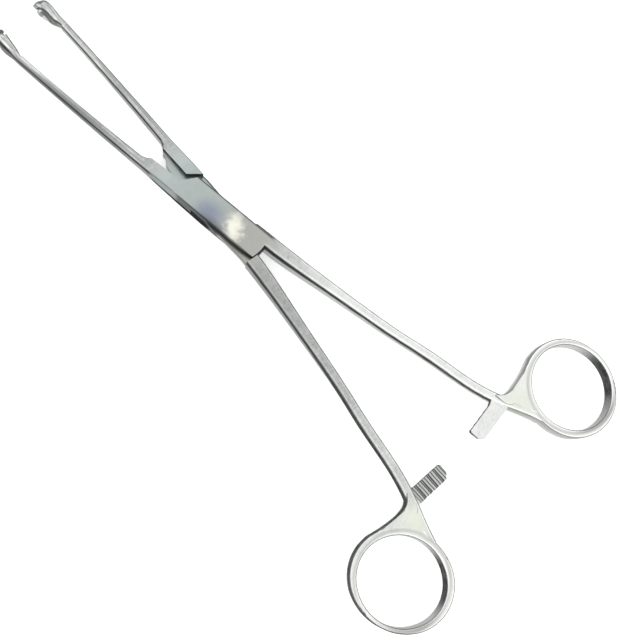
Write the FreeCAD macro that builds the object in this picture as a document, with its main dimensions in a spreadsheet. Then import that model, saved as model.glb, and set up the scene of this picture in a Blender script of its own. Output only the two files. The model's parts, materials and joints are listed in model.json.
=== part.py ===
"""Box-lock tissue forceps with finger rings and a ratchet.

Three real pieces: the box half, the insert half whose tongue passes through the box, and the pin.
Each half is drawn in a frame of its own: the pin's axis is Z, +X runs towards the jaws, and +Y is the
side on which that half's own jaw lies, so its handle lies on -Y. The insert half is then turned over.
"""
import FreeCAD, Part
import math
import os
import Sketcher

V = FreeCAD.Vector
Turn = FreeCAD.Rotation
ORIGIN = V(0, 0, 0)
X_AXIS = V(1, 0, 0)
Z_AXIS = V(0, 0, 1)

# Driving dimensions, in millimetres and degrees
SIZES = {
    "rest_opening": 10.3,
    "jaw_length": 76.2,
    "handle_length": 115.7,
    "lock_width": 8.0,
    "lock_thick": 6.4,
    "lock_corner": 0.4,
    "box_front_reach": 12.7,
    "box_corner_reach": 9.6,
    "box_rear_reach": 15.3,
    "flush_step": 0.02,
    "crotch_reach": 21.5,
    "parting_offset": 0.05,
    "lock_clearance": 0.25,
    "tongue_thick": 2.2,
    "tongue_clearance": 0.12,
    "tongue_nose": 2.3,
    "tongue_waist": 3.4,
    "pin_radius": 1.3,
    "pin_play": 0.05,
    "jaw_root_inner": 1.2,
    "jaw_root_outer": 3.4,
    "jaw_root_thick": 4.3,
    "jaw_neck_inner": 0.8,
    "jaw_neck_outer": 2.6,
    "jaw_neck_thick": 3.2,
    "jaw_belly": 0.3,
    "jaw_corner": 0.55,
    "spoon_length": 9.7,
    "spoon_width": 6.6,
    "spoon_back": 2.15,
    "spoon_floor": 1.0,
    "spoon_corner": 0.8,
    "scoop_axis": 1.9,
    "lip_thick": 1.2,
    "tooth_pitch": 2.2,
    "tooth_height": 1.4,
    "tooth_clearance": 0.15,
    "shank_root_width": 3.7,
    "shank_waist_width": 2.5,
    "shank_end_width": 2.7,
    "shank_end_thick": 3.8,
    "shank_corner": 0.75,
    "shank_bow": 0.75,
    "box_shank_offset": 2.75,
    "insert_shank_offset": 1.15,
    "shank_end_offset": 8.3,
    "ring_hole_length": 23.4,
    "ring_hole_width": 22.0,
    "ring_hole_shift": 0.3,
    "ring_turn": -20,
    "ring_bar_width": 2.0,
    "ring_side_width": 1.6,
    "ring_bar_thick": 4.8,
    "ring_bar_corner": 0.62,
    "ring_offset": 25.1,
    "web_thick": 4.7,
    "ratchet_reach": 2.1,
    "ratchet_width": 4.2,
    "ratchet_thick": 1.7,
    "ratchet_from_end": 26.2,
    "ratchet_clearance": 0.12,
    "ratchet_pitch": 2.15,
    "ratchet_tooth_depth": 0.6,
}
RATCHET_TEETH = 4
TONGUE_BULGE = 0.35


class Size:
    """A number that keeps the spreadsheet formula it comes from."""

    def __init__(self, text, number):
        self.text = text
        self.number = number

    def join(self, sign, other, number):
        return Size("(%s %s %s)" % (self.text, sign, other.text), number)

    def __add__(self, other):
        other = as_size(other)
        return self.join("+", other, self.number + other.number)

    def __sub__(self, other):
        other = as_size(other)
        return self.join("-", other, self.number - other.number)

    def __mul__(self, other):
        other = as_size(other)
        return self.join("*", other, self.number * other.number)

    def __truediv__(self, other):
        other = as_size(other)
        return self.join("/", other, self.number / other.number)

    def __radd__(self, other):
        return as_size(other) + self

    def __rsub__(self, other):
        return as_size(other) - self

    def __rmul__(self, other):
        return as_size(other) * self

    def __neg__(self):
        return as_size(0) - self


def as_size(value):
    if isinstance(value, Size):
        return value
    return Size("%.6f" % value, float(value))


def size(name):
    return Size("<<Sizes>>." + name, SIZES[name])


def between(first, last, share):
    return first + (last - first) * share


def make_sheet(doc):
    sheet = doc.addObject("Spreadsheet::Sheet", "Sizes")
    sheet.Label = "Sizes"
    for row, (name, number) in enumerate(SIZES.items(), start=1):
        sheet.set("A%d" % row, name)
        sheet.set("B%d" % row, str(number))
        sheet.setAlias("B%d" % row, name)
    doc.recompute()


# Sketch helpers
def new_sketch(body, name, plane_role, along_normal=None, across=None):
    """A sketch on one of the body's own planes, moved along the normal and along its own X."""
    sketch = body.newObject("Sketcher::SketchObject", name)
    plane = [item for item in body.Origin.OriginFeatures if item.Role == plane_role][0]
    sketch.AttachmentSupport = [(plane, "")]
    sketch.MapMode = "FlatFace"
    along_normal = as_size(0 if along_normal is None else along_normal)
    across = as_size(0 if across is None else across)
    sketch.AttachmentOffset = FreeCAD.Placement(V(across.number, 0, along_normal.number), Turn())
    sketch.setExpression("AttachmentOffset.Base.x", across.text)
    sketch.setExpression("AttachmentOffset.Base.z", along_normal.text)
    return sketch


def measure(sketch, kind, geometry_refs, length):
    """A driving dimension of a sketch, bound to the spreadsheet."""
    index = sketch.addConstraint(Sketcher.Constraint(kind, *geometry_refs, length.number))
    sketch.setExpression("Constraints[%d]" % index, length.text)


def round_rectangle(sketch, width, thick, corner):
    """A rectangle with round corners, centred on the sketch's own origin."""
    half_w = width.number / 2
    half_t = thick.number / 2
    r = corner.number
    corners = [(half_w, half_t), (half_w, -half_t), (-half_w, -half_t), (-half_w, half_t)]
    steps = [(1, 0), (0, -1), (-1, 0), (0, 1)]
    for index in range(4):
        start = corners[index - 1]
        end = corners[index]
        step = steps[index]
        sketch.addGeometry(Part.LineSegment(V(start[0] + step[0] * r, start[1] + step[1] * r, 0),
                                            V(end[0] - step[0] * r, end[1] - step[1] * r, 0)))
    for index in range(4):
        x = math.copysign(half_w - r, corners[index][0])
        y = math.copysign(half_t - r, corners[index][1])
        first = math.radians(-90 * index)
        circle = Part.Circle(V(x, y, 0), Z_AXIS, r)
        sketch.addGeometry(Part.ArcOfCircle(circle, first, first + math.pi / 2))
    for index in range(4):
        sketch.addConstraint(Sketcher.Constraint("Tangent", index, 2, 4 + index, 2))
        sketch.addConstraint(Sketcher.Constraint("Tangent", 4 + index, 1, (index + 1) % 4, 1))
    for index in (0, 2):
        sketch.addConstraint(Sketcher.Constraint("Horizontal", index))
        sketch.addConstraint(Sketcher.Constraint("Vertical", index + 1))
    for index in (5, 6, 7):
        sketch.addConstraint(Sketcher.Constraint("Equal", 4, index))
    sketch.addConstraint(Sketcher.Constraint("Symmetric", 0, 1, 2, 1, -1, 1))
    measure(sketch, "Radius", (4,), corner)
    measure(sketch, "DistanceX", (3, 1, 1, 1), width)
    measure(sketch, "DistanceY", (2, 1, 0, 1), thick)


def bar_section(body, name, along, across, width, thick, corner):
    """The cross-section of a bar that runs along X, at its own place on the bar."""
    sketch = new_sketch(body, name, "YZ_Plane", along, across)
    round_rectangle(sketch, width, thick, corner)
    return sketch


def polygon(sketch, corners, arc_radius=None):
    """A closed outline of straight edges. Each corner is a pair of sizes.

    With arc_radius, the first edge is an arc about the pin's axis: its two corners give only their Y.
    """
    count = len(corners)
    points = []
    for x, y in corners:
        y = as_size(y).number
        x = -math.sqrt(arc_radius.number ** 2 - y ** 2) if x is None else as_size(x).number
        points.append(V(x, y, 0))
    for index in range(count):
        start = points[index]
        end = points[(index + 1) % count]
        if index == 0 and arc_radius is not None:
            circle = Part.Circle(ORIGIN, Z_AXIS, arc_radius.number)
            first = math.atan2(start.y, start.x)
            last = math.atan2(end.y, end.x) % (2 * math.pi)
            sketch.addGeometry(Part.ArcOfCircle(circle, first, last))
        else:
            sketch.addGeometry(Part.LineSegment(start, end))
    for index in range(count):
        following = (index + 1) % count
        sketch.addConstraint(Sketcher.Constraint("Coincident", index, 2, following, 1))
    if arc_radius is not None:
        sketch.addConstraint(Sketcher.Constraint("Coincident", 0, 3, -1, 1))
        measure(sketch, "Radius", (0,), arc_radius)
    for index, (x, y) in enumerate(corners):
        if x is not None:
            measure(sketch, "DistanceX", (-1, 1, index, 1), as_size(x))
        measure(sketch, "DistanceY", (-1, 1, index, 1), as_size(y))


def circle_outline(sketch, across, along, radius):
    index = sketch.addGeometry(Part.Circle(V(across.number, along.number, 0), Z_AXIS, radius.number))
    measure(sketch, "DistanceX", (-1, 1, index, 3), across)
    measure(sketch, "DistanceY", (-1, 1, index, 3), along)
    measure(sketch, "Radius", (index,), radius)


# Feature helpers
def pad(body, name, sketch, length, symmetric=True, backwards=False):
    feature = body.newObject("PartDesign::Pad", name)
    feature.Profile = sketch
    feature.SideType = "Symmetric" if symmetric else "One side"
    feature.Reversed = backwards
    feature.Length = length.number
    feature.setExpression("Length", length.text)
    return feature


def pocket(body, name, sketch, length, symmetric=True, backwards=False):
    feature = body.newObject("PartDesign::Pocket", name)
    feature.Profile = sketch
    feature.SideType = "Symmetric" if symmetric else "One side"
    feature.Reversed = backwards
    feature.Length = length.number
    feature.setExpression("Length", length.text)
    return feature


def loft(body, name, sections, ruled=False):
    feature = body.newObject("PartDesign::AdditiveLoft", name)
    feature.Profile = sections[0]
    feature.Sections = sections[1:]
    feature.Ruled = ruled
    return feature


def round_flat_edges(body, name, base, within, radius):
    """Round the edges of the front and rear faces of a pad, where they lie nearer the rings than within."""
    body.Document.recompute()
    half = base.Length.Value / 2
    names = []
    for index, edge in enumerate(base.Shape.Edges, start=1):
        on_face = all(abs(abs(vertex.Z) - half) < 1e-6 for vertex in edge.Vertexes)
        if on_face and edge.BoundBox.XMax < within.number:
            names.append("Edge%d" % index)
    fillet = body.newObject("PartDesign::Fillet", name)
    fillet.Base = (base, names)
    fillet.Radius = radius.number
    fillet.setExpression("Radius", radius.text)


# Pieces that both halves share
def neck_reach():
    return size("jaw_length") - size("spoon_length")


def add_jaw(body):
    """The slim jaw bar, which leaves the lock at full thickness and thins to the neck of the spoon."""
    buried = size("parting_offset") - 0.8
    lock_half = size("lock_width") / 2
    corner = size("jaw_corner")
    root_reach = size("crotch_reach") + 3.5
    root = (root_reach, size("jaw_root_inner"), size("jaw_root_outer"), size("jaw_root_thick"))
    full_thick = size("lock_thick") - size("flush_step") * 2
    full_outer = lock_half - 0.35 - size("flush_step")
    front = size("box_front_reach") + 0.2
    rise_reach = size("crotch_reach") + 0.4
    root_stations = [(front - 3.6, buried, full_outer, full_thick)]
    for share in (0.0, 0.2, 0.4, 0.6, 0.8):
        taper = share * share * (3 - 2 * share)
        root_stations.append((between(front, root_reach, share * 0.9), buried,
                              between(full_outer, size("jaw_root_outer"), share),
                              between(full_thick, size("jaw_root_thick"), taper)))
    root_stations.append((rise_reach + 1.6, size("jaw_root_inner") - 0.5, size("jaw_root_outer"),
                          between(full_thick, size("jaw_root_thick"), 0.97)))
    root_stations.append(root)
    bar_stations = [root]
    for share in (0.25, 0.5, 0.75, 1.0):
        belly = size("jaw_belly") * (4 * share * (1 - share))
        bar_stations.append((between(root_reach, neck_reach(), share),
                             between(size("jaw_root_inner"), size("jaw_neck_inner"), share) + belly * 0.8,
                             between(size("jaw_root_outer"), size("jaw_neck_outer"), share) + belly * 0.3,
                             between(size("jaw_root_thick"), size("jaw_neck_thick"), share)))
    for name, stations, ruled in (("JawRoot", root_stations, True), ("JawBar", bar_stations, False)):
        sections = []
        for index, (along, inner, outer, thick) in enumerate(stations, start=1):
            sections.append(bar_section(body, "%sSection%d" % (name, index), along, (inner + outer) / 2,
                                        outer - inner, thick, corner))
        loft(body, name, sections, ruled)


def add_spoon(body):
    """The broad end of the jaw: a spade whose rim and lip turn in towards the other jaw."""
    length = size("spoon_length")
    inner = size("jaw_neck_inner")
    outer = size("jaw_neck_outer")
    back = size("spoon_back")
    width = size("spoon_width")
    lip = -size("tooth_height")
    slim = size("jaw_corner") + 0.1
    round_edge = size("spoon_corner")
    stations = [
        (-0.5, inner, outer, size("jaw_neck_thick"), slim),
        (length * 0.13, inner - 0.1, outer - 0.1, size("jaw_neck_thick") + 0.2, slim),
        (length * 0.34, lip * 0.02, back + 0.15, width * 0.73, round_edge),
        (length * 0.54, lip * 0.25, back + 0.05, width * 0.95, round_edge),
        (length * 0.7, lip * 0.6, back * 0.94, width * 0.98, round_edge),
        (length * 0.8, lip * 0.8, back * 0.83, width * 0.87, round_edge * 0.9),
        (length * 0.88, lip * 0.93, back * 0.63, width * 0.66, round_edge * 0.8),
        (length * 0.95, lip * 0.99, back * 0.4, width * 0.42, round_edge * 0.65),
        (length, lip, back * 0.15, width * 0.22, round_edge * 0.5),
    ]
    sections = []
    for index, (past_neck, low, high, thick, corner) in enumerate(stations, start=1):
        sections.append(bar_section(body, "SpoonSection%d" % index, neck_reach() + past_neck,
                                    (low + high) / 2, high - low, thick, as_size(corner)))
    loft(body, "SpoonBlank", sections)


def add_scoop(body):
    """The hollow of the spoon: a channel turned about an axis in front of the spoon's inner face."""
    sketch = new_sketch(body, "ScoopProfile", "XY_Plane")
    length = size("spoon_length")
    axis_line = -size("scoop_axis")
    start = neck_reach() + length * 0.06
    end = size("jaw_length") - size("lip_thick")
    floor = size("spoon_floor")
    polygon(sketch, [(end, axis_line), (end - 0.35, floor - 1.0), (end - 1.5, floor),
                     (neck_reach() + length * 0.36, floor), (start, size("jaw_neck_inner") * 0.5),
                     (start, axis_line)])
    groove = body.newObject("PartDesign::Groove", "Scoop")
    groove.Profile = sketch
    groove.ReferenceAxis = (sketch, ["Edge6"])
    groove.Angle = 360


def add_teeth(body, has_middle_tooth):
    """Notches through the lip, so that one jaw's teeth stand between the other jaw's."""
    sketch = new_sketch(body, "ToothGaps", "YZ_Plane", size("jaw_length") + 1)
    pitch = size("tooth_pitch")
    valley = size("tooth_clearance")
    peak = -size("tooth_height")
    outside = peak * 3
    if has_middle_tooth:
        profile = [(-1.5, valley), (-1, peak), (-0.5, valley), (0, peak), (0.5, valley), (1, peak),
                   (1.5, valley)]
    else:
        profile = [(-1.1, valley), (-0.5, peak), (0, valley), (0.5, peak), (1.1, valley)]
    corners = [(valley, pitch * -3)]
    corners = corners + [(height, pitch * step) for step, height in profile]
    corners = corners + [(valley, pitch * 3), (outside, pitch * 3), (outside, pitch * -3)]
    polygon(sketch, corners)
    pocket(body, "Teeth", sketch, size("lip_thick") + 3.0, symmetric=False)


def add_shank(body, root_offset):
    """The handle's bar, from the lock to the inner side of the ring, bowed away from the other one."""
    half_hole = size("ring_hole_length") / 2
    centre_reach = size("handle_length") - size("ring_bar_width") - half_hole
    bend_reach = ratchet_reach_back() - 3.5
    ring_side = size("ring_offset") - (size("ring_hole_width") + size("ring_side_width")) / 2 - 0.1
    root_reach = size("box_rear_reach") + 2.2
    root_width = size("shank_root_width")
    waist_width = size("shank_waist_width")
    end_width = size("shank_end_width")
    bend_offset = size("shank_end_offset") + 0.95
    stations = [
        (size("box_rear_reach") - 5.5, root_offset - size("parting_offset"), root_width - 0.3, 1),
        (root_reach, root_offset, root_width, 1),
    ]
    for share, width in ((0.2, between(root_width, waist_width, 0.45)),
                         (0.4, between(root_width, waist_width, 0.85)),
                         (0.6, waist_width),
                         (0.8, between(waist_width, end_width, 0.4)),
                         (1.0, end_width)):
        bow = size("shank_bow") * (4 * share * (1 - share))
        stations.append((between(root_reach, bend_reach, share),
                         between(root_offset, bend_offset, share) - bow, width,
                         (1 - share) * (1 - share)))
    stations.append((between(bend_reach, centre_reach, 0.42), between(bend_offset, ring_side, 0.5),
                     end_width, 0.22))
    stations.append((between(bend_reach, centre_reach, 0.92), ring_side - 0.05,
                     size("ring_bar_width") * 0.96, 0.37))
    sections = []
    for index, (reach, offset, width, left) in enumerate(stations, start=1):
        thick = between(size("shank_end_thick"), size("lock_thick") - size("flush_step") * 2, left)
        sections.append(bar_section(body, "ShankSection%d" % index, -reach, -offset, width, thick,
                                    size("shank_corner")))
    loft(body, "Shank", sections)


def ratchet_reach_back():
    """How far behind the pin the middle of the ratchet bar lies."""
    return size("handle_length") - size("ratchet_from_end")


def ring_front():
    """Where the ring's outer side lies nearest to the pin, as a negative X."""
    return size("ring_hole_length") + size("ring_bar_width") * 2 - size("handle_length")


def oval(sketch, centre, half_length, half_width, end_radius, side_radius):
    """A closed outline of four arcs that run smoothly into each other, first the one at the +X end."""
    first = sketch.GeometryCount
    bend = math.atan2((side_radius - half_width).number, (half_length - end_radius).number)
    end_shift = (half_length - end_radius).number
    side_shift = (side_radius - half_width).number
    x, y = centre[0].number, centre[1].number
    for arc_x, arc_y, radius, start, stop in (
            (x + end_shift, y, end_radius.number, -bend, bend),
            (x, y - side_shift, side_radius.number, bend, math.pi - bend),
            (x - end_shift, y, end_radius.number, math.pi - bend, math.pi + bend),
            (x, y + side_shift, side_radius.number, math.pi + bend, 2 * math.pi - bend)):
        sketch.addGeometry(Part.ArcOfCircle(Part.Circle(V(arc_x, arc_y, 0), Z_AXIS, radius), start, stop))
    for index in range(4):
        sketch.addConstraint(Sketcher.Constraint("Tangent", first + index, 2, first + (index + 1) % 4, 1))
    for index, side in ((0, 1), (2, -1)):
        measure(sketch, "DistanceX", (-1, 1, first + index, 3), centre[0] + (half_length - end_radius) * side)
        measure(sketch, "DistanceY", (-1, 1, first + index, 3), centre[1])
        measure(sketch, "Radius", (first + index,), end_radius)
        measure(sketch, "Radius", (first + index + 1,), side_radius)


def add_ring(body):
    """The finger ring: an oval of bar, with its edges rounded almost to half of the bar's width."""
    bar = size("ring_bar_width")
    half_length = size("ring_hole_length") / 2
    half_width = size("ring_hole_width") / 2
    end_radius = half_width - 0.8
    end_shift = half_length - end_radius
    side_radius = ((end_shift * end_shift + half_width * half_width - end_radius * end_radius)
                   / ((half_width - end_radius) * 2))
    side_bar = size("ring_side_width")
    reach = half_length + bar - size("handle_length")
    offset = -size("ring_offset")
    sketch = new_sketch(body, "RingOutline", "XY_Plane", None, reach)
    sketch.AttachmentOffset = FreeCAD.Placement(V(reach.number, offset.number, 0),
                                                Turn(Z_AXIS, SIZES["ring_turn"]))
    sketch.setExpression("AttachmentOffset.Base.y", offset.text)
    sketch.setExpression("AttachmentOffset.Rotation.Angle", size("ring_turn").text)
    oval(sketch, (as_size(0), -size("ring_hole_shift")), half_length, half_width, end_radius, side_radius)
    outer_end_radius = end_radius + (bar + side_bar) / 2
    outer_length = half_length + bar
    outer_width = half_width + side_bar
    outer_shift = outer_length - outer_end_radius
    outer_side_radius = ((outer_shift * outer_shift + outer_width * outer_width
                          - outer_end_radius * outer_end_radius) / ((outer_width - outer_end_radius) * 2))
    oval(sketch, (as_size(0), as_size(0)), outer_length, outer_width, outer_end_radius, outer_side_radius)
    ring = pad(body, "Ring", sketch, size("ring_bar_thick"))
    round_flat_edges(body, "RingEdges", ring, ring_front() + 1, size("ring_bar_corner"))


def add_branch(body):
    """The bar that leaves the shank sideways and runs into the front of the ring, and the web behind it."""
    bar = size("ring_bar_width")
    front = ring_front()
    shank_line = -(size("shank_end_offset") + 2.3)
    ring_line = -size("ring_offset")
    sections = []
    for index, (share, inset, width) in enumerate(((-0.05, -1.3, bar * 1.8), (0.03, -0.2, bar * 2.1),
                                                   (0.11, 0.75, bar * 1.75), (0.2, 1.15, bar * 1.45),
                                                   (0.32, 1.35, bar * 1.2), (0.47, 1.25, bar * 1.05),
                                                   (0.67, 0.9, bar), (0.87, 0.35, bar),
                                                   (1.0, 0.05, bar)), start=1):
        along = between(shank_line, ring_line, share)
        sketch = new_sketch(body, "BranchSection%d" % index, "XZ_Plane", -along, front - inset - width / 2)
        round_rectangle(sketch, width, size("ring_bar_thick") - 0.1, size("ring_bar_corner") * 0.95)
        sections.append(sketch)
    loft(body, "Branch", sections)
    half_length = (size("ring_hole_length") + bar) / 2
    half_width = (size("ring_hole_width") + size("ring_side_width")) / 2
    corners = [(front - bar * 0.8, shank_line - 0.3)]
    for angle in (5, 25, 45, 60, 72):
        along = math.cos(math.radians(angle))
        across = math.sin(math.radians(angle))
        corners.append((front - bar / 2 - half_length * (1 - along), ring_line + half_width * across))
    corners.append((front - half_length * 0.52, shank_line - 1.6))
    sketch = new_sketch(body, "WebOutline", "XY_Plane")
    polygon(sketch, corners)
    pad(body, "Web", sketch, size("web_thick"))


def add_ratchet(body):
    """A bar across the gap between the handles, with saw teeth on the face that meets the other bar."""
    half = size("ratchet_width") / 2
    near = half - ratchet_reach_back()
    far = -ratchet_reach_back() - half
    root = -(size("shank_end_offset") + 0.9)
    reach = size("ratchet_reach")
    outline = new_sketch(body, "RatchetOutline", "XY_Plane", size("ratchet_clearance"))
    polygon(outline, [(near + 1.8, root), (near + 0.5, root + 1.0), (near, root + 2.3), (near, reach - 0.3),
                      (near - 0.4, reach), (far + 1.4, reach), (far, reach - 1.2), (far, root - 0.6)])
    pad(body, "RatchetBar", outline, size("ratchet_thick"), symmetric=False)
    gaps = new_sketch(body, "RatchetGaps", "YZ_Plane", near + 0.5)
    face = size("ratchet_clearance")
    below = face - 0.4
    pitch = size("ratchet_pitch")
    corners = [(reach + 0.5, below)]
    for index in range(RATCHET_TEETH):
        crest = reach - 0.25 - pitch * index
        corners.append((crest, face))
        corners.append((crest - pitch * 0.78, face + size("ratchet_tooth_depth")))
        corners.append((crest - pitch * 0.96, face))
    corners.append((reach - pitch * (RATCHET_TEETH + 0.2), below))
    polygon(gaps, corners)
    pocket(body, "RatchetTeeth", gaps, size("ratchet_width") + 1, symmetric=False)


def add_pin_hole(body, radius):
    sketch = new_sketch(body, "PinHole", "XY_Plane")
    circle_outline(sketch, as_size(0), as_size(0), radius)
    pocket(body, "PinBore", sketch, size("lock_thick") + 2)


# The two halves and the pin
def make_box_half(doc):
    """The half with the slot. Its two plates are the front and rear faces of the lock."""
    body = doc.addObject("PartDesign::Body", "BoxHalf")
    body.Label = "box_half"
    half_width = size("lock_width") / 2
    rear = size("box_rear_reach")
    outline = new_sketch(body, "BoxOutline", "XY_Plane")
    polygon(outline, [(None, half_width - 0.4), (None, -0.8), (-rear + 1.3, -half_width),
                      (size("box_front_reach"), -half_width), (size("box_front_reach"), half_width - 0.35),
                      (2, half_width), (-rear * 0.7, half_width)], arc_radius=rear)
    block = pad(body, "BoxBlock", outline, size("lock_thick"))
    round_flat_edges(body, "LockEdges", block, size("crotch_reach"), size("lock_corner"))
    add_ring(body)
    add_jaw(body)
    add_spoon(body)
    add_scoop(body)
    add_teeth(body, has_middle_tooth=False)
    shoulder = new_sketch(body, "BoxFrontEnd", "XY_Plane")
    parting = size("parting_offset")
    front = size("box_front_reach")
    beyond = size("crotch_reach") + 4
    polygon(shoulder, [(size("box_corner_reach"), -half_width), (size("box_corner_reach"), -half_width * 1.5),
                       (beyond, -half_width * 1.5), (beyond, parting), (front, parting)])
    pocket(body, "BoxFrontCut", shoulder, size("lock_thick") + 2)
    slot = new_sketch(body, "SlotOutline", "XY_Plane")
    outside = size("lock_width")
    nose = size("tongue_nose")
    waist = size("tongue_waist")
    side = size("lock_clearance")
    crotch = size("crotch_reach")
    polygon(slot, [(beyond, -outside), (beyond, parting + side), (crotch + side, parting + side),
                   (crotch - 2.5, nose), (crotch - 4.3, nose + side), (6, waist - 0.15),
                   (4.5, outside), (-rear * 1.45, outside), (-rear * 1.45, -0.3), (-rear - 0.9, -0.55),
                   (-rear * 0.4, -half_width - 0.3), (-rear * 0.33, -outside)])
    add_shank(body, size("box_shank_offset"))
    pocket(body, "Slot", slot, size("tongue_thick") + size("tongue_clearance") * 2)
    add_pin_hole(body, size("pin_radius"))
    add_ratchet(body)
    add_branch(body)
    return body


def make_insert_half(doc):
    """The half whose flat tongue passes through the slot and turns on the pin."""
    body = doc.addObject("PartDesign::Body", "InsertHalf")
    body.Label = "insert_half"
    half_width = size("lock_width") / 2
    rear = size("box_rear_reach")
    parting = size("parting_offset")
    crotch = size("crotch_reach")
    nose = size("tongue_nose")
    waist = size("tongue_waist")
    outline = new_sketch(body, "TongueOutline", "XY_Plane")
    polygon(outline, [(-rear - 1.2, 0.3), (-rear - 1.2, -2.6), (-5, -waist), (-3.5, -waist - TONGUE_BULGE),
                      (3, -waist - TONGUE_BULGE), (6, 0.4 - waist),
                      (crotch - 4.3, -nose), (crotch - 2.8, 0.3 - nose), (crotch, -0.15), (crotch + 1, 1.2),
                      (crotch + 1, 2.4), (size("box_front_reach"), half_width - 0.5),
                      (size("box_corner_reach") - 1, half_width), (-rear * 0.4, half_width)])
    pad(body, "Tongue", outline, size("tongue_thick"))
    add_ring(body)
    add_jaw(body)
    add_spoon(body)
    add_scoop(body)
    add_teeth(body, has_middle_tooth=True)
    add_shank(body, size("insert_shank_offset"))
    clearance = size("lock_clearance")
    front = size("box_front_reach") + clearance
    corner = size("box_corner_reach") + clearance
    outside = half_width * 1.4
    slope = (front - corner) / (half_width + parting)
    for name, level, backwards in (("Front", size("tongue_thick") / 2, True),
                                   ("Rear", size("tongue_thick") / -2, False)):
        relief = new_sketch(body, name + "ReliefOutline", "XY_Plane", level)
        polygon(relief, [(None, outside), (None, -outside), (crotch + 0.8, -outside),
                         (crotch + 0.8, parting), (front, parting), (front - slope * (outside - parting), outside)],
                arc_radius=rear + clearance)
        pocket(body, name + "Relief", relief, size("lock_thick"), symmetric=False, backwards=backwards)
    add_pin_hole(body, size("pin_radius") + size("pin_play"))
    add_ratchet(body)
    add_branch(body)
    return body


def make_pin(doc):
    """The pin, riveted and ground flush with both plates."""
    pin = doc.addObject("Part::Cylinder", "PivotPin")
    pin.Label = "pivot_pin"
    pin.setExpression("Radius", size("pin_radius").text)
    pin.setExpression("Height", size("lock_thick").text)
    return pin


def place(box_half, insert_half, pin):
    """Open the halves evenly about the pin, over the middle of the instrument's own floor area."""
    half_angle = SIZES["rest_opening"] / 2
    turns = {
        box_half: Turn(Z_AXIS, half_angle),
        insert_half: Turn(Z_AXIS, -half_angle).multiply(Turn(X_AXIS, 180)),
    }
    extent = FreeCAD.BoundBox()
    for body, turn in turns.items():
        shape = body.Shape.copy()
        shape.Placement = FreeCAD.Placement(ORIGIN, turn)
        extent.add(shape.optimalBoundingBox(False))
    shift = V(-extent.Center.x, -extent.Center.y, -extent.ZMin)
    for body, turn in turns.items():
        body.Placement = FreeCAD.Placement(shift, turn)
    pin.Placement = FreeCAD.Placement(shift - V(0, 0, SIZES["lock_thick"] / 2), Turn())
    print("pin axis at", [round(value, 4) for value in shift], "extent", extent)


def check(doc, pieces):
    for item in doc.Objects:
        if "Invalid" in item.State or "Error" in item.State:
            raise RuntimeError("%s failed: %s %s" % (item.Name, item.State, item.getStatusString()))
    for piece in pieces:
        if piece.Shape.isNull() or not piece.Shape.isValid():
            raise RuntimeError("%s has no valid shape" % piece.Label)


def main():
    doc = FreeCAD.newDocument("TissueForceps")
    make_sheet(doc)
    box_half = make_box_half(doc)
    insert_half = make_insert_half(doc)
    pin = make_pin(doc)
    doc.recompute()
    pieces = (box_half, insert_half, pin)
    check(doc, pieces)
    place(box_half, insert_half, pin)
    doc.recompute()
    check(doc, pieces)
    os.makedirs("parts", exist_ok=True)
    for piece in pieces:
        piece.Shape.exportStep(os.path.join("parts", piece.Label + ".step"))
        print(piece.Label, "solids", len(piece.Shape.Solids), "volume", round(piece.Shape.Volume, 2),
              "box", piece.Shape.optimalBoundingBox(False))


main()
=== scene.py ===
# %% [markdown]
# # Box-lock tissue forceps
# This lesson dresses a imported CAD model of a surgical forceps. The model has three pieces of steel: the box
# half, the insert half and the pin. What is left for Blender is the view, the light and the finish of the
# steel, with all its small marks.

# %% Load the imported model
import json
import math

import bpy
from mathutils import Matrix, Vector


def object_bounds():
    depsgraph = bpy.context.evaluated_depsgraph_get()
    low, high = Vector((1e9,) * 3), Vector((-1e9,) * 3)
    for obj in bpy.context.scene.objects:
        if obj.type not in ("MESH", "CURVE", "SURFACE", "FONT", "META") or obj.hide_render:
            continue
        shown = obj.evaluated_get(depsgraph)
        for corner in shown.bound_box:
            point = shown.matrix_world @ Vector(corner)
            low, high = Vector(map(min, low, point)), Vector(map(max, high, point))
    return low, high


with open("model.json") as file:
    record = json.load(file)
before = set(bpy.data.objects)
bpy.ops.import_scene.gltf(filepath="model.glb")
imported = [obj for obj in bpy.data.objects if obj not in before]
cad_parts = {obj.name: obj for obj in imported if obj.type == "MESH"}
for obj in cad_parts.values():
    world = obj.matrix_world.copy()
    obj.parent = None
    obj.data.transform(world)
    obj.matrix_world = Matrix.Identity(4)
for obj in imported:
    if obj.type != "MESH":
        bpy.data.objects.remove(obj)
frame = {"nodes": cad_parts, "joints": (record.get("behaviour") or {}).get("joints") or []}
CAD_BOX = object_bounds()
box_half = frame["nodes"]["box_half"]
insert_half = frame["nodes"]["insert_half"]
pivot_pin = frame["nodes"]["pivot_pin"]
length, width, height = (CAD_BOX[1] - CAD_BOX[0]) * 1000
print(f"the forceps are {length:.1f} x {width:.1f} x {height:.1f} mm")

# %% [markdown]
# ## The camera
# The photograph looks down on the instrument from nearly above. Its place came from matching the outline of
# both halves. A camera can be turned by angles, but a place, a point to look at and an upward direction say
# the same in words that are easy to check, so a small function builds the camera's matrix from these three.
# All are measured from the hinge, which the frame knows from the model's only joint.

# %% Place the camera
MM = 0.001
HINGE = Vector(frame["joints"][0]["pos_m"])
CAMERA_PLACE = HINGE + Vector((-47.585, 63.728, 227.758)) * MM
CAMERA_TARGET = HINGE + Vector((-37.12, 2.66, 0)) * MM
PICTURE_UP = Vector((0.70078, -0.68034, 0.21459))
LENS = 50.625
NEAREST_SEEN = 10 * MM


def look_at(place, target, up):
    backward = (place - target).normalized()
    right = up.cross(backward).normalized()
    upward = backward.cross(right)
    turn = Matrix((right, upward, backward)).transposed()
    return Matrix.Translation(place) @ turn.to_4x4()


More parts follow.
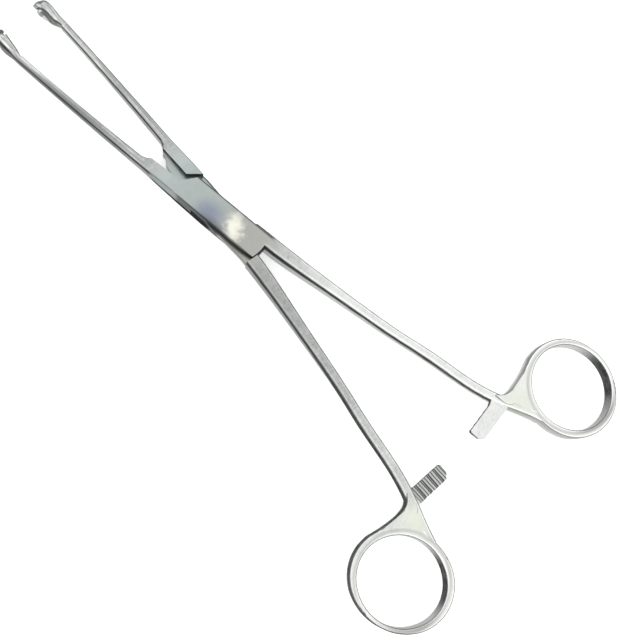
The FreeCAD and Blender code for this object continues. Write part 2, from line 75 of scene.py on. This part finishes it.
camera_data = bpy.data.cameras.new("camera")
camera_data.lens = LENS
camera_data.clip_start = NEAREST_SEEN
camera = bpy.data.objects.new("camera", camera_data)
camera.matrix_world = look_at(CAMERA_PLACE, CAMERA_TARGET, PICTURE_UP)
bpy.context.scene.collection.objects.link(camera)
bpy.context.scene.camera = camera
print("the camera is", round(CAMERA_PLACE.z, 3), "m above the floor")

# %% [markdown]
# ## Shader maths as Python
# A node tree is easier to read as an expression. The class below wraps one socket. An operator on it adds a
# Math node and wraps the result, so `1 - mask` is a node as well. Every other node comes from one method,
# `add`.


# %% A small language for node trees
class Wire:
    """One output of a node, which takes part in sums with numbers and other wires."""

    def __init__(self, paint, socket):
        self.paint = paint
        self.socket = socket

    def math(self, operation, *others):
        values = dict(enumerate((self,) + others))
        return self.paint.add("ShaderNodeMath", {"operation": operation}, values)

    def __add__(self, other):
        return self.math("ADD", other)

    def __radd__(self, other):
        return self.math("ADD", other)

    def __sub__(self, other):
        return self.math("SUBTRACT", other)

    def __rsub__(self, other):
        return (self * -1) + other

    def __mul__(self, other):
        return self.math("MULTIPLY", other)

    def __rmul__(self, other):
        return self.math("MULTIPLY", other)

    def __truediv__(self, other):
        return self.math("DIVIDE", other)

    def __abs__(self):
        return self.math("ABSOLUTE")

    def __pow__(self, other):
        return self.math("POWER", other)

    def clamped(self):
        """The same, but never below 0 or above 1."""
        return self.math("MAXIMUM", 0.0).math("MINIMUM", 1.0)

    def swing(self, weight, middle=0.5):
        """How far noise is from its middle, times a weight."""
        return (self - middle) * weight

    def step(self, start, stop):
        """0 before start, 1 after stop, and smooth between them."""
        settings = {"interpolation_type": "SMOOTHSTEP", "clamp": True}
        values = {"Value": self, "From Min": start, "From Max": stop}
        return self.paint.add("ShaderNodeMapRange", settings, values)

    def inside(self, low, high, soft):
        """1 between low and high, and 0 beyond them, over a soft edge."""
        return self.step(low - soft, low + soft) * self.step(high + soft, high - soft)


class Paint:
    """A new material, or the world, and the one way to add nodes to it."""

    def __init__(self, name, owners=None):
        self.owner = (bpy.data.materials if owners is None else owners).new(name)
        self.owner.use_nodes = True
        self.tree = self.owner.node_tree
        self.tree.nodes.clear()

    def add(self, kind, settings=None, values=None, output=0):
        node = self.tree.nodes.new(kind)
        for key, value in (settings or {}).items():
            if key == "stops":
                self.set_stops(node.color_ramp, value)
            else:
                setattr(node, key, value)
        for key, value in (values or {}).items():
            if isinstance(value, Wire):
                self.tree.links.new(value.socket, node.inputs[key])
            else:
                node.inputs[key].default_value = value
        return None if output is None else Wire(self, node.outputs[output])

    def set_stops(self, ramp, stops):
        while len(ramp.elements) < len(stops):
            ramp.elements.new(0.5)
        for element, (place, colour) in zip(ramp.elements, stops):
            element.position = place
            element.color = colour

    def mix(self, factor, first, second):
        settings = {"data_type": "RGBA", "clamp_factor": True}
        return self.add("ShaderNodeMix", settings, {0: factor, 6: first, 7: second}, output=2)

    def parts(self, vector):
        split = self.add("ShaderNodeSeparateXYZ", values={0: vector})
        return [Wire(self, split.socket.node.outputs[index]) for index in range(3)]

    def stretched(self, vector, factors):
        return self.add("ShaderNodeVectorMath", {"operation": "MULTIPLY"}, {0: vector, 1: factors})

    def noise(self, vector, scale, detail, rough):
        values = {"Vector": vector, "Scale": scale, "Detail": detail, "Roughness": rough}
        return self.add("ShaderNodeTexNoise", values=values)

    def finish(self, shader, output_kind="ShaderNodeOutputMaterial"):
        self.add(output_kind, None, {"Surface": shader}, output=None)
        return self.owner


print("the shader helpers are ready")

# %% [markdown]
# ## One frame for each half
# Both halves are forged and ground before they are riveted together, so each mark follows its own half. A
# pattern on plain Object coordinates would lie askew, because each half is turned about the pin. The
# helpers below turn places and directions back, and give places in millimetres from the pin: X runs towards
# the jaws and Y across the bar. The insert half lies turned over, so its Y is mirrored by a side of -1.

# %% Find a place on one half
ANGLE_AT_REST = 10.3
HALF_TURN = math.radians(ANGLE_AT_REST / 2)


def turned_back(paint, vector, turn):
    values = {"Vector": vector, "Angle": -turn}
    return paint.add("ShaderNodeVectorRotate", {"rotation_type": "Z_AXIS"}, values)


def own_millimetres(paint, turn):
    """A place on this half, in millimetres from the pin."""
    place = paint.add("ShaderNodeTexCoord", output="Object")
    from_pin = paint.add("ShaderNodeVectorMath", {"operation": "SUBTRACT"}, {0: place, 1: tuple(HINGE)})
    turned = turned_back(paint, from_pin, turn)
    return paint.add("ShaderNodeVectorMath", {"operation": "SCALE"}, {0: turned, "Scale": 1 / MM})


def own_normal(paint, turn):
    """The direction that the surface faces, in the frame of this half."""
    return turned_back(paint, paint.add("ShaderNodeTexCoord", output="Normal"), turn)


def blob(x, y, centre, half_size, soft):
    """A soft oval spot: 1 at its centre and 0 from its rim."""
    along = (x - centre[0]) / half_size[0]
    across = (y - centre[1]) / half_size[1]
    distance = (along * along + across * across) ** 0.5
    return distance.step(1.0, 1.0 - soft)


print("one half turns by", round(math.degrees(HALF_TURN), 2), "degrees")

# %% [markdown]
# ## Marks and zones
# Steel that was ground on belts shows fine lines across the bar and streaks along it, and years of washing
# and wiping leave smears, patches and grain. Each mark is one noise texture, stretched the way the tool
# went: a larger factor packs the marks closer in that direction. An image could show them too, but noise
# has no seam and stays sharp at any size. The zones say where on a half a point lies: on the lock, the
# spoon end of the jaw or the ring. All finishes below read the same marks and zones.

# %% Marks and zones of one half
EVEN = (1.0, 1.0, 1.0)
ACROSS_BAR = (4.0, 0.35, 0.6)
ALONG_BAR = (0.10, 1.6, 0.3)
LOCK_ZONE = {"low": -17.0, "high": 19.0, "soft": 3.0}
SPOON_ZONE = (65.0, 69.0)
JAW_ZONE = (18.0, 30.0)
RING_CENTRE = (-102.0, -25.3)
RING_ZONE = (15.5, 14.0)


class Half:
    """The places, directions, marks and zones that the finishes of one half read."""

    def __init__(self, name, turn, side, look):
        self.look = look
        self.paint = Paint(name)
        self.place = own_millimetres(self.paint, turn)
        self.x, y, self.z = self.paint.parts(self.place)
        self.y = y * side
        facing_x, facing_y, facing_z = self.paint.parts(own_normal(self.paint, turn))
        self.up = abs(facing_z)

        self.lines = self.mark(ACROSS_BAR, scale=1.9, detail=5.0, rough=0.7)
        self.speckle = self.mark(ACROSS_BAR, scale=4.5, detail=2.0, rough=0.6)
        self.streaks = self.mark(ALONG_BAR, scale=1.0, detail=3.0, rough=0.6)
        self.smear = self.mark(EVEN, scale=0.16, detail=3.0, rough=0.55)
        self.patch = self.mark(EVEN, scale=0.55, detail=4.0, rough=0.6)
        self.grain = self.mark(EVEN, scale=7.0, detail=3.0, rough=0.6)

        ring_x = self.x - RING_CENTRE[0]
        ring_y = self.y - RING_CENTRE[1]
        self.from_ring = (ring_x * ring_x + ring_y * ring_y) ** 0.5
        self.outward = (facing_x * ring_x + facing_y * side * ring_y) / self.from_ring
        self.ring = self.from_ring.step(*RING_ZONE)
        self.lock = self.x.inside(**LOCK_ZONE)
        self.spoon = self.x.step(*SPOON_ZONE)
        self.jaw = self.x.step(*JAW_ZONE)
        # Painted light: the bar turns paler towards the rings.
        self.lit_toward_rings = self.x.step(*look["painted_light_zone"])

    def mark(self, stretch, scale, detail, rough):
        """Noise that is fixed to this half, with its scale per millimetre."""
        return self.paint.noise(self.paint.stretched(self.place, stretch), scale, detail, rough)


print("the lock zone is", LOCK_ZONE["high"] - LOCK_ZONE["low"], "mm long")

# %% [markdown]
# ## Brushed steel
# The bars are satin: mid grey near the lock, with a tone that wavers by the marks, and a painted light makes
# them paler towards the rings. The jaws are half round, so painted shade darkens them across, from the inner
# side to the outer one. One number, the tone, gathers all of this, and only then is it turned into a colour,
# so that the same lines can drive the roughness and the bump as well.

# %% The colour of the brushed bars
LIGHT_STEEL = (0.80, 0.81, 0.79, 1)
MID_STEEL = (0.33, 0.34, 0.335, 1)
# A painted shade colour, for the outer flank of the jaws and the dark oval on the lock.
SHADE_STEEL = (0.12, 0.125, 0.13, 1)
TONE_SWING = {"lines": 1.5, "smear": 0.5, "patch": 0.4, "grain": 0.5, "streaks": 3.2, "speckle": 1.4}
TONE_LIFT = {"everywhere": 0.06, "lit_toward_rings": 0.82, "spoon": 0.08, "ring": 0.14}
LINES_LOST = {"lock": 0.7, "ring": 0.6}
STREAK_MIDDLE = 0.45
JAW_SHADE_ZONE = (26.0, 50.0)
JAW_MIDDLE_Y = 1.75
JAW_FLANK_SHADE = {"zone": (1.7, 2.8), "strength": 0.7}


def line_weight(half):
    """The belt's lines are polished away on the lock and most of the ring."""
    return 1.0 - half.lock * LINES_LOST["lock"] - half.ring * LINES_LOST["ring"]


def brushed_steel(half):
    tone = half.lines.swing(TONE_SWING["lines"]) * line_weight(half) + TONE_LIFT["everywhere"]
    for mark in ("smear", "patch", "grain"):
        tone = tone + getattr(half, mark).swing(TONE_SWING[mark])
    # The lift towards the rings is painted light.
    for zone in ("lit_toward_rings", "spoon", "ring"):
        tone = tone + getattr(half, zone) * TONE_LIFT[zone]
    tone = tone + half.streaks.swing(TONE_SWING["streaks"], STREAK_MIDDLE) * half.jaw
    tone = tone + half.speckle.swing(TONE_SWING["speckle"]) * (1.0 - half.lit_toward_rings) * (1.0 - half.ring)
    # Painted shade: the half round jaw darkens across, from the inner side to the outer one, and its outer
    # flank goes darker still.
    jaw_shade = half.x.step(*JAW_SHADE_ZONE) * (1.0 - half.spoon) * half.look["jaw_shade_strength"]
    tone = tone + (JAW_MIDDLE_Y - half.y) * jaw_shade
    colour = half.paint.mix(tone, MID_STEEL, LIGHT_STEEL)
    flank_shade = jaw_shade * half.y.step(*JAW_FLANK_SHADE["zone"]) * JAW_FLANK_SHADE["strength"]
    return half.paint.mix(flank_shade, colour, SHADE_STEEL)


print("the tone is made of", len(TONE_SWING), "marks and", len(TONE_LIFT), "lifts")

# %% [markdown]
# ## The lock
# A box lock is closed hot round its tongue, then ground and polished. The steel keeps a cool green grey,
# which turns warmer at the rear, and a blue stain from the heat. One bright warm spot on it is a painted
# highlight, and a painted dark shade lies beside them. Each is a soft oval on the lock. Noise shifts its
# edge, because an exact oval would look like a sticker. A dark line of painted shade follows the long edges
# of the box.

# %% The stains, the painted highlight and the painted shade of the lock
LOCK_STEEL = (0.43, 0.485, 0.475, 1)
LOCK_REAR_STEEL = (0.43, 0.43, 0.40, 1)
BLUE_STEEL = (0.27, 0.30, 0.37, 1)
# The colour of the painted highlight on the lock.
HIGHLIGHT_STEEL = (0.92, 0.91, 0.80, 1)
# Near black painted shade, for the side walls and the long edges of the lock.
PAINTED_SHADE = (0.025, 0.026, 0.025, 1)
LOCK_REAR_ZONE = (4.0, -13.0)
LOCK_PATCH = {"weight": 0.6, "middle": 0.35}
LOCK_SPECKLE = {"weight": 1.1, "middle": 0.45}
BLUE_SPOT = {"centre": (1.2, 2.2), "half_size": (6.0, 5.6), "soft": 0.9}
HIGHLIGHT_SPOT = {"centre": (-5.9, 0.8), "half_size": (3.6, 6.4), "soft": 0.85}
LOCK_SHADE_SPOT = {"centre": (-2.0, 4.3), "half_size": (8.0, 2.9), "soft": 0.95}
HIGHLIGHT_SLANT = 0.35
HIGHLIGHT_WANDER = {"patch": 6.0, "lines": 2.0}
SPOT_WANDER = 3.0
LOCK_STRENGTH = 0.9
HIGHLIGHT_STRENGTH = 0.95
LOCK_SHADE_STRENGTH = 0.8
EDGE_ACROSS = (3.35, 3.70)
EDGE_ALONG = {"low": -16.0, "high": 11.0, "soft": 1.0}


def lock_steel(half, colour):
    paint = half.paint
    lock_colour = paint.mix(half.x.step(*LOCK_REAR_ZONE), LOCK_STEEL, LOCK_REAR_STEEL)
    cloud = half.patch.swing(**LOCK_PATCH) + half.speckle.swing(**LOCK_SPECKLE)
    lock_colour = paint.mix(cloud, lock_colour, MID_STEEL)
    colour = paint.mix(half.lock * LOCK_STRENGTH, colour, lock_colour)

    blue = blob(half.x + half.patch.swing(SPOT_WANDER), half.y, **BLUE_SPOT)
    colour = paint.mix(blue * half.lock, colour, BLUE_STEEL)
    # Painted highlight: a bright warm oval where the polished lock catches the light.
    highlight_wander = half.patch.swing(HIGHLIGHT_WANDER["patch"]) + half.lines.swing(HIGHLIGHT_WANDER["lines"])
    highlight_x = half.x + half.y * HIGHLIGHT_SLANT + highlight_wander
    highlight = blob(highlight_x, half.y + half.smear.swing(SPOT_WANDER), **HIGHLIGHT_SPOT)
    colour = paint.mix(highlight * half.lock * HIGHLIGHT_STRENGTH, colour, HIGHLIGHT_STEEL)
    # Painted shade: a dark oval beside the bright spot.
    lock_shade = blob(half.x + half.lines.swing(SPOT_WANDER), half.y, **LOCK_SHADE_SPOT)
    return paint.mix(lock_shade * half.lock * LOCK_SHADE_STRENGTH, colour, SHADE_STEEL)


def lock_edge(half):
    """1 along the long edges of the box, where a line of painted shade goes."""
    return abs(half.y).step(*EDGE_ACROSS) * half.x.inside(**EDGE_ALONG)


print("the lock has 3 spots and a dark edge")

# %% [markdown]
# ## The ring and its web
# The web between shank and ring is ground flat and looks a little yellow. The rim of the finger hole is
# rounded, and a painted shade draws it as a thin darker line that is broken by smears and widest at one end
# of the ring. The distance from the ring's centre gives that line without any outline of the hole.

# %% The colour of the web and the painted shade of the rim
WEB_STEEL = (0.74, 0.77, 0.67, 1)
# The colour of the rim's painted shade.
RIM_SHADE_STEEL = (0.38, 0.385, 0.375, 1)
WEB_SPOT = {"centre": (-93.0, -12.6), "half_size": (6.5, 5.5), "soft": 0.9}
RIM_LINE = {"low": 12.0, "high": 12.7, "soft": 0.4}
WIDE_RIM_ZONE = (13.4, 11.6)
WIDE_RIM_SPOT = {"half_size": (11.0, 11.0), "soft": 0.8}
WEB_STRENGTH = 0.8
WIDE_RIM_STRENGTH = 0.8
RIM_STRENGTH = {"least": 0.35, "smear": 0.4}


def ring_steel(half, colour):
    web = blob(half.x, half.y, **WEB_SPOT)
    colour = half.paint.mix(web * WEB_STRENGTH, colour, WEB_STEEL)
    # Painted shade: a thin dark line on the rounded rim, widest at one end of the ring.
    rim_shade = half.from_ring.inside(**RIM_LINE) * (half.smear * RIM_STRENGTH["smear"] + RIM_STRENGTH["least"])
    wide_rim_end = blob(half.x, half.y, half.look["rim_shade_end"], **WIDE_RIM_SPOT)
    wide_rim_shade = half.from_ring.step(*WIDE_RIM_ZONE) * wide_rim_end * WIDE_RIM_STRENGTH
    return half.paint.mix(rim_shade + wide_rim_shade, colour, RIM_SHADE_STEEL)


print("the rim's line is", round(RIM_LINE["high"] - RIM_LINE["low"], 1), "mm wide")

# %% [markdown]
# ## Dark side walls
# The side walls of the bars are painted dark, a painted shade that stands for the dark room that they
# mirror. It starts right under the upper edge, fades downwards and goes further down towards the rings, and
# a thin line of it follows the lower edge. In the finger hole it lies only in one arc, as a painted shadow,
# so the wall of the hole is told from the outer wall by the way it faces, towards the ring's centre or away
# from it. Steel mirrors the room at a low angle whatever its colour, so the same mask lowers Metallic later.

# %% The painted shade on the side walls
WALL_TILT = (0.80, 0.30)
BAR_HALF_THICK = 2.25
LOCK_EXTRA_HALF_THICK = 0.95
REACH_AT_JAWS = 0.3
REACH_ZONE = (-30.0, -70.0)
REACH_FADE = (0.22, -0.06)
HOLE_FACING = (0.0, -0.25)
HOLE_ZONE = (14.0, 13.4)
HOLE_SHADOW = {"half_size": (12.0, 12.0), "soft": 0.7}
RING_OUTSIDE_ZONE = (-86.0, -92.0)
LOWER_EDGE = {"zone": (0.90, 0.97), "strength": 0.3}
LOCK_FOOT = {"zone": (0.62, 0.74), "least": 0.08}
LOCK_WALL_SOFT = 1.2
SPOON_WALL_SHADE = 0.62
WALL_SHADE_STRENGTH = 0.95
WALL_SHADE_SWING = {"smear": 0.3, "patch": 0.25}


def wall_depth(half):
    """0 at the upper face of the bar and 1 at the lower one."""
    half_thick = half.lock * LOCK_EXTRA_HALF_THICK + BAR_HALF_THICK
    return (half_thick - half.z) / (half_thick * 2.0)


def wall_shade(half):
    """How much painted shade darkens a side wall, from 0 to 1."""
    depth = wall_depth(half)
    reach = half.x.step(*REACH_ZONE) * half.look["wall_reach"] + REACH_AT_JAWS
    reach = reach + half.smear.swing(WALL_SHADE_SWING["smear"])
    upper_shade = (depth - reach).step(*REACH_FADE)
    hole = half.outward.step(*HOLE_FACING) * half.from_ring.step(*HOLE_ZONE)
    shadow = blob(half.x, half.y, half.look["ring_shadow"], **HOLE_SHADOW)
    kept_outside = 1.0 - half.x.step(*RING_OUTSIDE_ZONE) * (1.0 - half.look["ring_outside"])
    lower_edge = depth.step(*LOWER_EDGE["zone"]) * LOWER_EDGE["strength"]
    # Painted shade on the walls, and a painted shadow in one arc of the finger hole.
    shade_amount = upper_shade * (1.0 - hole) * kept_outside + shadow * hole + lower_edge

    foot = depth.step(*LOCK_FOOT["zone"]) + LOCK_FOOT["least"]
    lock_wall = half.x.inside(*half.look["lock_wall"], LOCK_WALL_SOFT)
    shade_amount = shade_amount * (1.0 - lock_wall) + foot * lock_wall
    shade_amount = shade_amount.math("MAXIMUM", half.spoon * SPOON_WALL_SHADE)
    shade_amount = shade_amount * WALL_SHADE_STRENGTH + half.patch.swing(WALL_SHADE_SWING["patch"])
    return shade_amount.clamped() * half.up.step(*WALL_TILT)


print("the bars are taken as", BAR_HALF_THICK * 2, "mm thick")

# %% [markdown]
# ## The ratchet
# The teeth of the ratchet are pressed and never polished, and the whole ratchet is painted darker. The
# photograph shows about three fine lines to a tooth. They could be grooves in the mesh, but each is a
# fraction of a millimetre wide and hardly deep, so they are painted, as painted shade in the grooves, with a
# line of painted shade at each tooth's root. The fraction of Y over a pitch starts again at each tooth,
# which repeats a line without a loop. The pitch and the first crest are those of the teeth in the CAD
# model.

# %% The dark lines of the ratchet
# The dark colour of the ratchet, with its painted groove shade.
RATCHET_DARK = (0.06, 0.063, 0.06, 1)
TOOTH_PITCH = 2.15
FIRST_CREST = 1.85
LINES_PER_TOOTH = 3
RATCHET_ALONG = {"low": -92.0, "high": -87.0, "soft": 0.2}
RATCHET_ACROSS = {"low": -8.4, "high": 2.3, "soft": 0.2}
RATCHET_HALF_THICK = (1.1, 0.9)
FINE_LINE = {"low": 0.10, "high": 0.42, "soft": 0.08}
ROOT_LINE = (0.10, 0.02)
FINE_LINE_STRENGTH = {"least": 0.35, "patch": 0.7}
ROOT_STRENGTH = 0.3
RATCHET_DARK_EVERYWHERE = 0.36
LINE_WANDER = 0.6
RATCHET_DARK_SWING = 0.4


def ratchet_zone(half):
    """1 on the toothed bar that reaches across to the other half."""
    bar = half.x.inside(**RATCHET_ALONG) * half.y.inside(**RATCHET_ACROSS)
    return bar * abs(half.z).step(*RATCHET_HALF_THICK)


def ratchet_darkening(half):
    from_crest = FIRST_CREST - half.y
    tooth = (from_crest / TOOTH_PITCH).math("FRACT")
    fine = ((from_crest + half.smear.swing(LINE_WANDER)) / (TOOTH_PITCH / LINES_PER_TOOTH)).math("FRACT")
    darkness = half.patch * FINE_LINE_STRENGTH["patch"] + FINE_LINE_STRENGTH["least"]
    # Painted shade in fine grooves and at each tooth's root, and the whole ratchet painted darker.
    dark_total = fine.inside(**FINE_LINE) * darkness + tooth.step(*ROOT_LINE) * ROOT_STRENGTH + RATCHET_DARK_EVERYWHERE
    return (dark_total + half.lines.swing(RATCHET_DARK_SWING)) * ratchet_zone(half)


print("a fine line comes every", round(TOOTH_PITCH / LINES_PER_TOOTH, 2), "mm")

# %% [markdown]
# ## The whole finish
# The finishes lie over each other: brushed bars first, then the lock with the painted shade on its edges,
# the ring, the painted shade of the side walls, and the ratchet's dark lines on top. Roughness follows the
# same marks, and the bump uses the belt's lines, so a line that changes the colour also catches the light.
# The specular level is the same all over and is set on the shader itself.

# %% Mix the steel
BUMP_STRENGTH = 0.45
BUMP_HEIGHT = 0.05 * MM
GRAIN_HEIGHT = 0.2
ROUGH_BASE = 0.30
ROUGH_SWING = {"lines": 0.18, "smear": 0.16, "grain": 0.08}
RING_POLISH = 0.06
RATCHET_ROUGH = 0.15
EDGE_SHADE = 0.75
METAL_LOST = {"wall": 0.9, "edge": 0.4}


def roughness(half):
    rough = half.lines.swing(ROUGH_SWING["lines"]) * line_weight(half) + ROUGH_BASE
    rough = rough + half.smear.swing(ROUGH_SWING["smear"]) + half.grain.swing(ROUGH_SWING["grain"])
    return rough - half.ring * RING_POLISH + ratchet_zone(half) * RATCHET_ROUGH


def steel(name, turn, side, look):
    half = Half(name, turn, side, look)
    paint = half.paint
    edge = lock_edge(half)
    shade_amount = wall_shade(half)
    colour = lock_steel(half, brushed_steel(half))
    # Painted shade: a dark line along the long edges of the lock.
    colour = paint.mix(edge * EDGE_SHADE, colour, PAINTED_SHADE)
    colour = ring_steel(half, colour)
    # Painted shade on the side walls.
    colour = paint.mix(shade_amount, colour, PAINTED_SHADE)
    # Painted shade in the ratchet's grooves, over a darker ratchet.
    colour = paint.mix(ratchet_darkening(half), colour, RATCHET_DARK)

    relief_height = half.lines * line_weight(half) + half.grain * GRAIN_HEIGHT
    relief = {"Strength": BUMP_STRENGTH, "Distance": BUMP_HEIGHT, "Height": relief_height}
    surface = {"Base Color": colour,
               "Metallic": 1.0 - shade_amount * METAL_LOST["wall"] - edge * METAL_LOST["edge"],
               "Roughness": roughness(half),
               "Specular IOR Level": 0.0,
               "Normal": paint.add("ShaderNodeBump", values=relief)}
    return paint.finish(paint.add("ShaderNodeBsdfPrincipled", values=surface))


print("the steel has", len(ROUGH_SWING), "marks in its roughness")

# %% [markdown]
# ## The looks of the two halves
# The halves don't look alike, because they lie at an angle to each other, so the light falls on them from
# different sides and their painted light and shade differ. A look holds what differs: where along the bar
# the painted light makes the steel pale, where the painted shadow in the finger hole and the widest end of
# the rim's painted shade are, which stretch of the lock's wall has no painted shade, how far the painted
# shade reaches down the walls, how much of it stays on the ring's outer wall, and how strongly it darkens
# the jaws. Two materials written out in full would say the rest twice, so one function takes a look. The
# pin is ground flush with the box, so it gets the box half's look.

# %% Dress the three pieces
# Where each half's painted light and painted shade lie.
BOX_LOOK = {"painted_light_zone": (0.0, -45.0), "ring_shadow": (-107.5, -33.5), "rim_shade_end": (-114.0, -23.0),
            "lock_wall": (0.0, 20.0), "ring_outside": 0.4, "jaw_shade_strength": 0.85, "wall_reach": 0.15}
INSERT_LOOK = {"painted_light_zone": (-18.0, -132.0), "ring_shadow": (-109.0, -17.5), "rim_shade_end": (-112.0, -32.0),
               "lock_wall": (19.9, 20.0), "ring_outside": 1.0, "jaw_shade_strength": 0.4, "wall_reach": 0.45}


def dress(node, material):
    node.data.materials.clear()
    node.data.materials.append(material)
    print("dressed", node.name, "in", material.name, "with", len(material.node_tree.nodes), "nodes")


dress(box_half, steel("box_half_steel", HALF_TURN, 1.0, BOX_LOOK))
dress(insert_half, steel("insert_half_steel", -HALF_TURN, -1.0, INSERT_LOOK))
dress(pivot_pin, steel("pin_steel", HALF_TURN, 1.0, BOX_LOOK))

# %% [markdown]
# ## The floor
# A pale floor lies right under the instrument. One large face is enough, because a camera that looks down
# on it sees no wall. It is matt, has a faint unevenness and glows a little, like a light table, so that it
# stays white under the bars. Reflections don't show it, because the side walls would mirror it and turn
# white.

# %% Lay the floor
FLOOR_HALF = 3.0
FLOOR_WHITES = [(0.90, 0.90, 0.90, 1), (0.92, 0.92, 0.92, 1)]
FLOOR_ROUGHNESS = 0.9
FLOOR_SPECULAR = 0.1
FLOOR_GLOW = 0.5
FLOOR_NOISE = {"scale": 40.0, "detail": 2.0, "rough": 0.5}

floor_mesh = bpy.data.meshes.new("floor")
corners = [(-FLOOR_HALF, -FLOOR_HALF, 0), (FLOOR_HALF, -FLOOR_HALF, 0),
           (FLOOR_HALF, FLOOR_HALF, 0), (-FLOOR_HALF, FLOOR_HALF, 0)]
floor_mesh.from_pydata(corners, [], [(0, 1, 2, 3)])
floor = bpy.data.objects.new("floor", floor_mesh)
bpy.context.scene.collection.objects.link(floor)
floor.visible_glossy = False

floor_paint = Paint("floor_white")
floor_place = floor_paint.add("ShaderNodeTexCoord", output="Object")
floor_colour = floor_paint.mix(floor_paint.noise(floor_place, **FLOOR_NOISE), *FLOOR_WHITES)
floor_surface = {"Base Color": floor_colour, "Roughness": FLOOR_ROUGHNESS,
                 "Specular IOR Level": FLOOR_SPECULAR,
                 "Emission Color": (1, 1, 1, 1), "Emission Strength": FLOOR_GLOW}
floor_shader = floor_paint.add("ShaderNodeBsdfPrincipled", values=floor_surface)
floor_mesh.materials.append(floor_paint.finish(floor_shader))
print("the floor is", FLOOR_HALF * 2, "m wide")

# %% [markdown]
# ## The light
# Polished steel shows what is round it. A photographer puts a large soft light over the instrument and
# keeps the room dark, so top faces are light and rounded edges are dark. Here the world does the same by
# height: bright above, dark round the horizon and grey below. One large, weak lamp adds the soft shadows
# under the bars.

# %% Light the studio
LAMP_PLACE = (-0.3, 0.35, 1.1)
LAMP_SIZE = 1.0
LAMP_POWER = 0.9
# Each stop is a height and a colour: 0 is straight down, 0.5 the horizon and 1 straight up.
SKY_STOPS = [(0.00, (0.80, 0.80, 0.80, 1)), (0.35, (0.60, 0.60, 0.60, 1)),
             (0.46, (0.10, 0.10, 0.10, 1)), (0.58, (0.10, 0.10, 0.10, 1)),
             (0.66, (0.50, 0.50, 0.50, 1)), (0.73, (1.45, 1.46, 1.46, 1)),
             (0.88, (1.45, 1.46, 1.46, 1)), (0.97, (0.98, 0.98, 0.97, 1))]

lamp_data = bpy.data.lights.new("overhead", "AREA")
lamp_data.shape = "DISK"
lamp_data.size = LAMP_SIZE
lamp_data.energy = LAMP_POWER
lamp = bpy.data.objects.new("overhead", lamp_data)
lamp.matrix_world = look_at(Vector(LAMP_PLACE), Vector((0, 0, 0)), Vector((0, 1, 0.01)))
bpy.context.scene.collection.objects.link(lamp)

sky = Paint("studio", bpy.data.worlds)
upward = sky.parts(sky.add("ShaderNodeTexCoord", output="Generated"))[2]
sky_height = (upward + 1.0) / 2.0
sky_colour = sky.add("ShaderNodeValToRGB", {"stops": SKY_STOPS}, {"Fac": sky_height})
sky_shader = sky.add("ShaderNodeBackground", values={"Color": sky_colour, "Strength": 1.0})
bpy.context.scene.world = sky.finish(sky_shader, "ShaderNodeOutputWorld")
bpy.context.scene.view_settings.view_transform = "Standard"
print("the studio has", len(SKY_STOPS), "heights of light")
